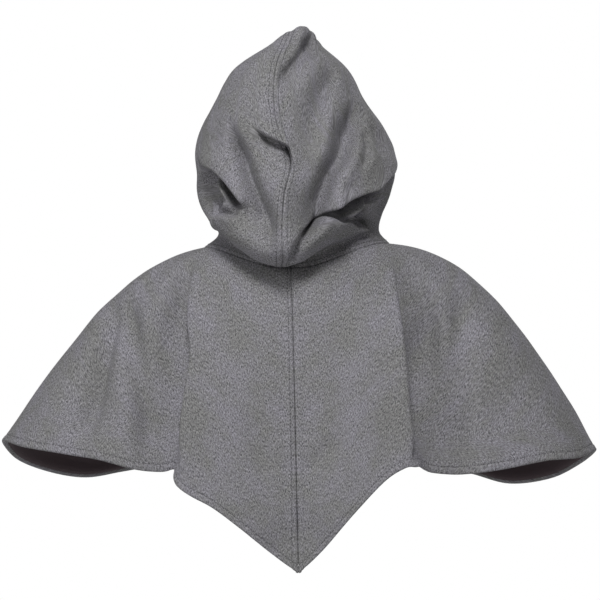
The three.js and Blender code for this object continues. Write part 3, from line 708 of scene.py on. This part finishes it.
left_ribs = np.array([
    [0.0, -0.005, -1.0, 1.0, 1.0, 0.012, -0.81, 0.27],
    [0.07, 0.092, -1.01, 1.0, 0.8, 0.095, -0.81, 0.27],
    [0.14, 0.185, -1.02, 1.0, 0.6, 0.178, -0.8, 0.26],
    [0.2, 0.27, -1.01, 1.0, 0.43, 0.255, -0.77, 0.23],
    [0.25, 0.34, -0.99, 1.0, 0.33, 0.313, -0.72, 0.19],
    [0.285, 0.385, -0.95, 1.0, 0.25, 0.35, -0.67, 0.165],
    [0.31, 0.402, -0.87, 1.0, 0.19, 0.37, -0.62, 0.14],
    [0.335, 0.404, -0.75, 1.0, 0.12, 0.388, -0.56, 0.12],
    [0.36, 0.436, -0.69, 1.08, 0, 0.41, -0.51, 0.1],
    [0.395, 0.53, -0.72, 1.065, 0, 0.448, -0.47, 0.085],
    [0.43, 0.645, -0.7, 1.02, 0, 0.485, -0.42, 0.078],
    [0.46, 0.785, -0.6, 0.985, 0, 0.537, -0.32, 0.08],
    [0.48, 0.9, -0.42, 0.965, 0, 0.575, -0.19, 0.082],
    [0.5, 0.985, 0.0, 0.955, 0, 0.59, 0, 0.083],
    [0.52, 0.95, 0.33, 1.055, 0, 0.583, 0.18, 0.085],
    [0.545, 0.855, 0.53, 1.125, 0, 0.555, 0.32, 0.09],
    [0.575, 0.73, 0.62, 1.16, 0, 0.517, 0.38, 0.095],
    [0.61, 0.605, 0.68, 1.135, 0, 0.465, 0.48, 0.108],
    [0.65, 0.467, 0.73, 1.1, 0, 0.408, 0.57, 0.138],
    [0.72, 0.333, 0.86, 1.095, 0, 0.32, 0.68, 0.19],
    [0.8, 0.226, 0.95, 1.11, 0, 0.22, 0.75, 0.25],
    [0.9, 0.113, 0.99, 1.12, 0, 0.108, 0.79, 0.3],
    [1.0, 0.0, 1.0, 1.12, 0, 0, 0.81, 0.31],
])
# Flutes that deepen from the neck to the hem: turn, a share of flute_depth, and width in turn.
flutes = [
    (-0.455, -1.0, 0.02), (-0.405, 0.7, 0.022), (0.375, -0.6, 0.02), (0.415, 0.5, 0.02),
    (-0.66, -0.8, 0.03), (0.66, -0.8, 0.03), (-0.78, 0.7, 0.045), (0.78, 0.7, 0.045),
    (-0.9, -0.5, 0.04), (0.9, -0.5, 0.04),
]
mantle_folds = [dict(zip(fold_columns, row)) for row in [
    # the back panel's two edges, which stand over the wings
    ([(0.328, 0.18), (0.3, 0.28), (0.268, 0.53), (0.262, 0.83), (0.27, 0.93), (0.274, 1.0)],
     -30, 30, 5, 14, 2, -9, 0.45, 0.15),
    ([(-0.36, 0.12), (-0.346, 0.27), (-0.3, 0.52), (-0.274, 0.66), (-0.28, 0.84), (-0.282, 1.0)],
     5, 14, -30, 28, 2.5, 6, 0.35, 0.25),
    # soft valleys of the left wing and of the right one
    ([(-0.488, 0.4), (-0.488, 0.52), (-0.468, 0.64), (-0.446, 0.9), (-0.45, 1.0)],
     -15, 13, -15, 16, 5, 0, 0.3, 0.25),
    ([(-0.476, 0.4), (-0.476, 0.48), (-0.422, 0.72), (-0.388, 0.88), (-0.38, 1.0)],
     -15, 14, -14, 16, 5, 0, 0.3, 0.25),
    ([(0.4, 0.4), (0.39, 0.51), (0.372, 0.64), (0.3, 0.93), (0.29, 1.0)], -12, 14, -12, 18, 5, 0, 0.3, 0.25),
    ([(0.45, 0.4), (0.446, 0.53), (0.426, 0.65), (0.392, 0.94), (0.385, 1.0)],
     -12, 14, -12, 18, 5, 0, 0.3, 0.25),
    # the point, which bends a little forward, and faint dents of the back panel
    ([(-0.08, 0.96), (0, 0.99), (0.08, 0.96)], -9, 50, -9, 50, 20, 0, 0.3, 0.3),
    ([(-0.16, 0.75), (-0.1, 0.82), (-0.06, 0.9)], -6, 12, -5, 12, 4, 0, 0.4, 0.4),
    ([(0.02, 0.86), (0.07, 0.83), (0.12, 0.84)], -4, 10, -4, 12, 4, 0, 0.4, 0.4),
    ([(0.14, 0.2), (0.12, 0.4), (0.13, 0.7)], -2.5, 22, -2.5, 26, 6, 0, 0.4, 0.4),
    ([(-0.2, 0.15), (-0.17, 0.4), (-0.19, 0.65)], -2.5, 22, -2.5, 26, 6, 0, 0.4, 0.4),
]]
mantle_waves = cloth_waves(12, 60, 190)
mantle_wave_height = 1.6
mantle_wave_run = 0.3
mantle_groove = 0.7
mantle_trough = 0.6 * stitch_trough  # on the left half, where the only row of stitches is


def mantle_half_form(side, turn, fall):
    """The mantle's outer face before its flutes, on one half. fall runs from the neck seam to the hem."""
    at = dict(zip(rib_columns, between(left_ribs if side < 0 else right_ribs, turn)[:, 1:].T))

    def depth_of(share):
        return share * np.where(share < 0, mantle_back_reach, mantle_front_reach)

    neck = hood_half_form(side, turn, np.zeros(len(turn))) - [0, 0, neck_seam_gap]
    bend = np.stack([
        side * at["bend_reach"] * mantle_reach,
        depth_of(at["bend_depth"]),
        -at["bend_drop"] * mantle_drop,
    ], axis=-1)
    hem = np.stack([
        side * at["reach"] * mantle_reach,
        depth_of(at["depth"]),
        -at["drop"] * mantle_drop - at["point"] * point_drop,
    ], axis=-1)
    early, middle, late = (1 - fall) ** 2, 2 * shoulder_weight * fall * (1 - fall), fall**2
    summed = neck * early[:, None] + bend * middle[:, None] + hem * late[:, None]
    return summed / (early + middle + late)[:, None]


mantle_form = both_halves(mantle_half_form)


def mantle_cloth(side, turn, fall, seam_distance, place):
    """The mantle's outer face with its flutes, seams and waves. place is where it lies on the cut cloth."""
    direction = outward(mantle_form, side, turn, fall, -1)

    def locate(path):
        return mantle_form(side, path[:, 0], path[:, 1])

    lift, slide = fold_pull(mantle_folds, mantle_form(side, turn, fall), locate, direction)
    for at, share, width in flutes:
        lift += share * flute_depth * np.exp(-(((turn - at) / width) ** 2)) * fall
    waves = mantle_wave_height * fade(fall / mantle_wave_run) * mantle_waves(place[:, 0], place[:, 1])
    relief = seam_relief(seam_distance, mantle_groove, mantle_trough if side < 0 else 0)
    raised = lift + waves + relief
    return mantle_form(side, turn, fall) + direction * raised[:, None] + slide


mantle_column_count = 230
mantle_row_count = 110
mantle_relaxing = 1
seam_reach = 40  # past this the seams no longer shape the cloth
hem_columns = [0, 1.5, 3, 5, 7.2, 8.4, 9.2, 10, 10.8, 12, 14]
hem_stitch_offset = 10
hem_stitch_column = 7.2  # nearest to the stitches, as the columns start fold_over inside the edge
hem_trough_width = 1.0
hem_swell = 0.7
hem_swell_end = 4
hem_swell_run = 8


def mantle_grid(side):
    """Turn, fall and distance from the hem for every place of one half's grid."""
    middle = 0.55  # the fall at which the columns are laid out
    shares, reaches = run_shares(mantle_form, side, np.array([middle]), True)
    columns = lay_columns(seam_columns, reaches[:, -1], mantle_column_count, 1)[0]
    turns = np.interp(columns, reaches[0], shares)
    turns[0], turns[-1] = 0, 1
    _, falls = run_shares(mantle_form, side, turns, False)
    rows = lay_columns(hem_columns, falls[:, -1] - fold_over, mantle_row_count, 1)
    fall = np.array([
        np.interp(falls[i, -1] - fold_over - rows[i, ::-1], falls[i], shares) for i in range(len(turns))
    ]).T
    fall[0] = 0
    turn = np.broadcast_to(turns, fall.shape)
    return turn, fall, rows[:, ::-1].T


def mantle_half(side, word):
    """One half with its turned-up hem, and the places and directions that the lining and stitches follow."""
    turn, fall, from_hem = mantle_grid(side)
    plain = mantle_form(side, (side * turn).ravel(), fall.ravel()).reshape(*turn.shape, 3)
    lengths = cloth_lengths(plain) / millimetre
    place = np.stack([side * lengths[..., 0], lengths[..., 1]], axis=-1).reshape(-1, 2)
    to_front = lengths[:, -1:, 0] - lengths[..., 0]
    seam_distance = np.minimum(np.minimum(lengths[..., 0], to_front), seam_reach)
    flat = mantle_cloth(side, (side * turn).ravel(), fall.ravel(), seam_distance.ravel(), place)
    points = relaxed(flat.reshape(*turn.shape, 3), mantle_relaxing)
    normal = grid_directions(points, -side)
    from_stitches = from_hem + fold_over - hem_stitch_offset
    trough = stitch_trough * np.exp(-(from_stitches / hem_trough_width) ** 2)
    swell = hem_swell * (1 - fade((from_hem - hem_swell_end) / hem_swell_run))
    points = points + normal * (swell - trough)[..., None]
    whole = turned_edge(points, normal, hem_width)
    piece = cloth_piece(f"mantle_{word}", whole, wool_thickness, side > 0, wool)
    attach(piece, "root")
    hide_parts(f"mantle_panel_{word}", f"mantle_hem_{word}")
    return piece, points, normal, whole


mantle_halves = {word: mantle_half(side, word) for word, side in (("left", -1), ("right", 1))}

# The mantle's lining, a dark plain-woven cloth, thinner than the wool. It lies loosely under each panel
# from the neck seam down, and laps over the turned-up hem's raw edge.
lining_gap = 0.7
lining_thickness = 1.0
lining_lap = 7.6
lap_room = 0.2  # beside the hem's own thickness
lap_run = 8
lining_slack = 0.9
slack_start = 20
slack_run = 30
lining_crowding = 0.8


def lining_material():
    """A thin plain weave in a dark purple brown."""
    material, tree, link, shader = new_material("dark lining", {
        "Roughness": 0.78, "Specular IOR Level": 0.3, "Sheen Weight": 0.1,
    })
    cloth = node(tree, "ShaderNodeTexCoord", (-1200, 0))
    crossing = node(tree, "ShaderNodeMix", (-650, 100), data_type="FLOAT")
    weave = {"Scale": 320, "Distortion": 1.5, "Detail Scale": 2}
    for height, direction, socket in ((200, "X", 2), (-100, "Y", 3)):
        threads = node(tree, "ShaderNodeTexWave", (-900, height), weave, bands_direction=direction)
        link(cloth.outputs["UV"], threads.inputs["Vector"])
        link(threads.outputs["Fac"], crossing.inputs[socket])
    colours = two_colours(tree, (-400, 100), (0.028, 0.019, 0.022), (0.078, 0.054, 0.061))
    link(crossing.outputs[0], colours.inputs["Fac"])
    link(colours.outputs["Color"], shader.inputs["Base Color"])
    bump = node(tree, "ShaderNodeBump", (-250, -300), {"Strength": 0.3, "Distance": 0.0003})
    link(crossing.outputs[0], bump.inputs["Height"])
    link(bump.outputs["Normal"], shader.inputs["Normal"])
    return material


lining = lining_material()
lining_waves = cloth_waves(10, 30, 90)


def mantle_lining(side, word):
    """One half's lining, on every second column of its panel and half as many rows."""
    _, points, normal, _ = mantle_halves[word]
    lengths = cloth_lengths(points) / millimetre
    around, up = lengths[..., 0], lengths[..., 1]
    from_hem = up[-1:] - up
    over_hem = (wool_thickness + lap_room) * (1 - fade((from_hem - hem_width) / lap_run))
    loose = lining_slack * fade((from_hem - slack_start) / slack_run) * (1 + lining_waves(around, up))
    depth = wool_thickness + lining_gap + over_hem + loose
    under = points - normal * depth[..., None]
    ends = up[-1] - (hem_width - fold_over - lining_lap)
    shares = np.linspace(0, 1, len(points) // 2 + 1) ** lining_crowding
    whole = np.array([along_columns(under, up, share * ends) for share in shares])[:, ::2]
    piece = cloth_piece(f"mantle_lining_{word}_cloth", whole, lining_thickness, side > 0, lining)
    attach(piece, "root")
    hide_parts(f"mantle_lining_{word}")


for word, side in (("left", -1), ("right", 1)):
    mantle_lining(side, word)

# Stitches in a dark grey thread: a row on each side of the hood's centre seam, one on the left of the
# mantle's back seam, and one along the neck seam, the face edge and the hem. Each stitch dips into the
# cloth at both ends.
stitch_length = 3.2
stitch_gap = 1.1
thread_radius = 0.42
thread_lift = 0.2
seam_stitch_column = seam_columns.index(stitch_offset)
hem_stitch_row = -1 - hem_columns.index(hem_stitch_column)
neck_stitch_offset = 6
face_stitch_offset = 13


def thread_material():
    """Waxed thread, with painted shade in diagonal bands where its plies turn in."""
    finish = {"Roughness": 0.7, "Specular IOR Level": 0.3}
    material, tree, link, shader = new_material("dark grey thread", finish)
    place = node(tree, "ShaderNodeTexCoord", (-1000, 0))
    twist = {"Scale": 700, "Distortion": 2}
    # painted shade: diagonal bands that darken the thread's colour where its plies twist in
    ply_shade = node(tree, "ShaderNodeTexWave", (-700, 0), twist, bands_direction="DIAGONAL")
    link(place.outputs["Object"], ply_shade.inputs["Vector"])
    colours = two_colours(tree, (-400, 0), (0.035, 0.035, 0.037), (0.1, 0.1, 0.105))
    link(ply_shade.outputs["Fac"], colours.inputs["Fac"])
    link(colours.outputs["Color"], shader.inputs["Base Color"])
    return material


thread = thread_material()


def line_at(points, normal, distance):
    """The line over a grid's cloth at a distance from its first row, with its outward directions."""
    up = cloth_lengths(points)[..., 1] / millimetre
    return along_columns(points, up, distance), along_columns(normal, up, distance)


def sew(name, line, out):
    """Stitches along a line over the cloth."""
    steps = np.linalg.norm(np.diff(line, axis=0), axis=1)
    along = np.concatenate([[0], np.cumsum(steps)])
    count = int(along[-1] / (stitch_length + stitch_gap))
    bm = bmesh.new()
    for middle in (np.arange(count) + 0.5) * along[-1] / count:
        ends = []
        for reach in (middle - stitch_length / 2, middle + stitch_length / 2):
            ends.append(Vector([np.interp(reach, along, line[:, axis]) for axis in range(3)]))
        rise = Vector([np.interp(middle, along, out[:, axis]) for axis in range(3)])
        ahead = (ends[1] - ends[0]).normalized()
        across = rise.cross(ahead).normalized()
        rise = ahead.cross(across)
        centre = (ends[0] + ends[1]) / 2 + rise * thread_lift
        shape = Matrix([across * thread_radius, rise * thread_radius, ahead * stitch_length / 2])
        whole = shape.transposed().to_4x4()
        whole.translation = centre
        bmesh.ops.create_uvsphere(bm, u_segments=6, v_segments=4, radius=1, matrix=whole)
    bmesh.ops.scale(bm, verts=bm.verts[:], vec=(millimetre, millimetre, millimetre))
    piece = finished(name, bm, thread)
    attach(piece, "root")


for word in ("left", "right"):
    _, points, normal, _ = hood_halves[word]
    column, row = seam_stitch_column, -1 - seam_stitch_column
    up_and_over = [np.concatenate([grid[:row, column], grid[row, column:]]) for grid in (points, normal)]
    sew(f"hood_seam_stitches_{word}", *up_and_over)
    sew(f"neck_seam_stitches_{word}", *line_at(points, normal, neck_stitch_offset))
    face_edge = [grid.transpose(1, 0, 2)[::-1] for grid in (points, normal)]
    sew(f"face_hem_stitches_{word}", *line_at(*face_edge, face_stitch_offset))
    _, points, normal, _ = mantle_halves[word]
    if word == "left":
        sew("mantle_seam_stitches_left", points[:, column], normal[:, column])
    sew(f"mantle_hem_stitches_{word}", points[hem_stitch_row], normal[hem_stitch_row])

# The floor is plain and pale. It lies far under the hood, which is held up as a head holds it.
floor_drop = 1.35
floor_half = 4.0
bm = bmesh.new()
bmesh.ops.create_grid(bm, x_segments=1, y_segments=1, size=floor_half)
bmesh.ops.translate(bm, verts=bm.verts[:], vec=(0, 0, -floor_drop))
floor_finish = {"Base Color": (0.86, 0.86, 0.86, 1), "Roughness": 0.9}
floor = finished("floor", bm, new_material("pale floor", floor_finish)[0])

# Soft studio light: a white surround, a broad panel above the camera, one on each side of it, and one in
# front of the wearer, which lights the other views.
surround = bpy.data.worlds.new("surround")
surround.use_nodes = True
soft_light = surround.node_tree.nodes["Background"]
white = (1, 1, 1, 1)
set_inputs(soft_light, {"Color": white, "Strength": 0.12})
backdrop = node(surround.node_tree, "ShaderNodeBackground", (0, -200), {"Color": white, "Strength": 1.0})
seen = node(surround.node_tree, "ShaderNodeLightPath", (0, 300))
either = node(surround.node_tree, "ShaderNodeMixShader", (300, 0))
sky = surround.node_tree.nodes["World Output"]
join = surround.node_tree.links.new
join(seen.outputs["Is Camera Ray"], either.inputs["Fac"])
join(soft_light.outputs["Background"], either.inputs[1])
join(backdrop.outputs["Background"], either.inputs[2])
join(either.outputs["Shader"], sky.inputs["Surface"])
bpy.context.scene.world = surround
bpy.context.scene.view_settings.view_transform = "Standard"
light_aim = Vector((0, 0, -0.05))


def light_panel(name, place, size, power):
    """A square panel of light that faces the hood's neck."""
    lamp = bpy.data.lights.new(name, "AREA")
    lamp.size = size
    lamp.energy = power
    lamp_object = bpy.data.objects.new(name, lamp)
    lamp_object.location = place
    towards = light_aim - Vector(place)
    lamp_object.rotation_euler = towards.to_track_quat("-Z", "Y").to_euler()
    bpy.context.scene.collection.objects.link(lamp_object)


light_panel("key", (-0.1, -2.5, 2.1), 0.9, 73)
light_panel("side", (-2.6, -1.7, 1.1), 1.2, 26)
light_panel("fill", (2.2, -2.4, 0.9), 1.6, 10)
light_panel("front", (1.4, 3.0, 1.5), 1.6, 34)
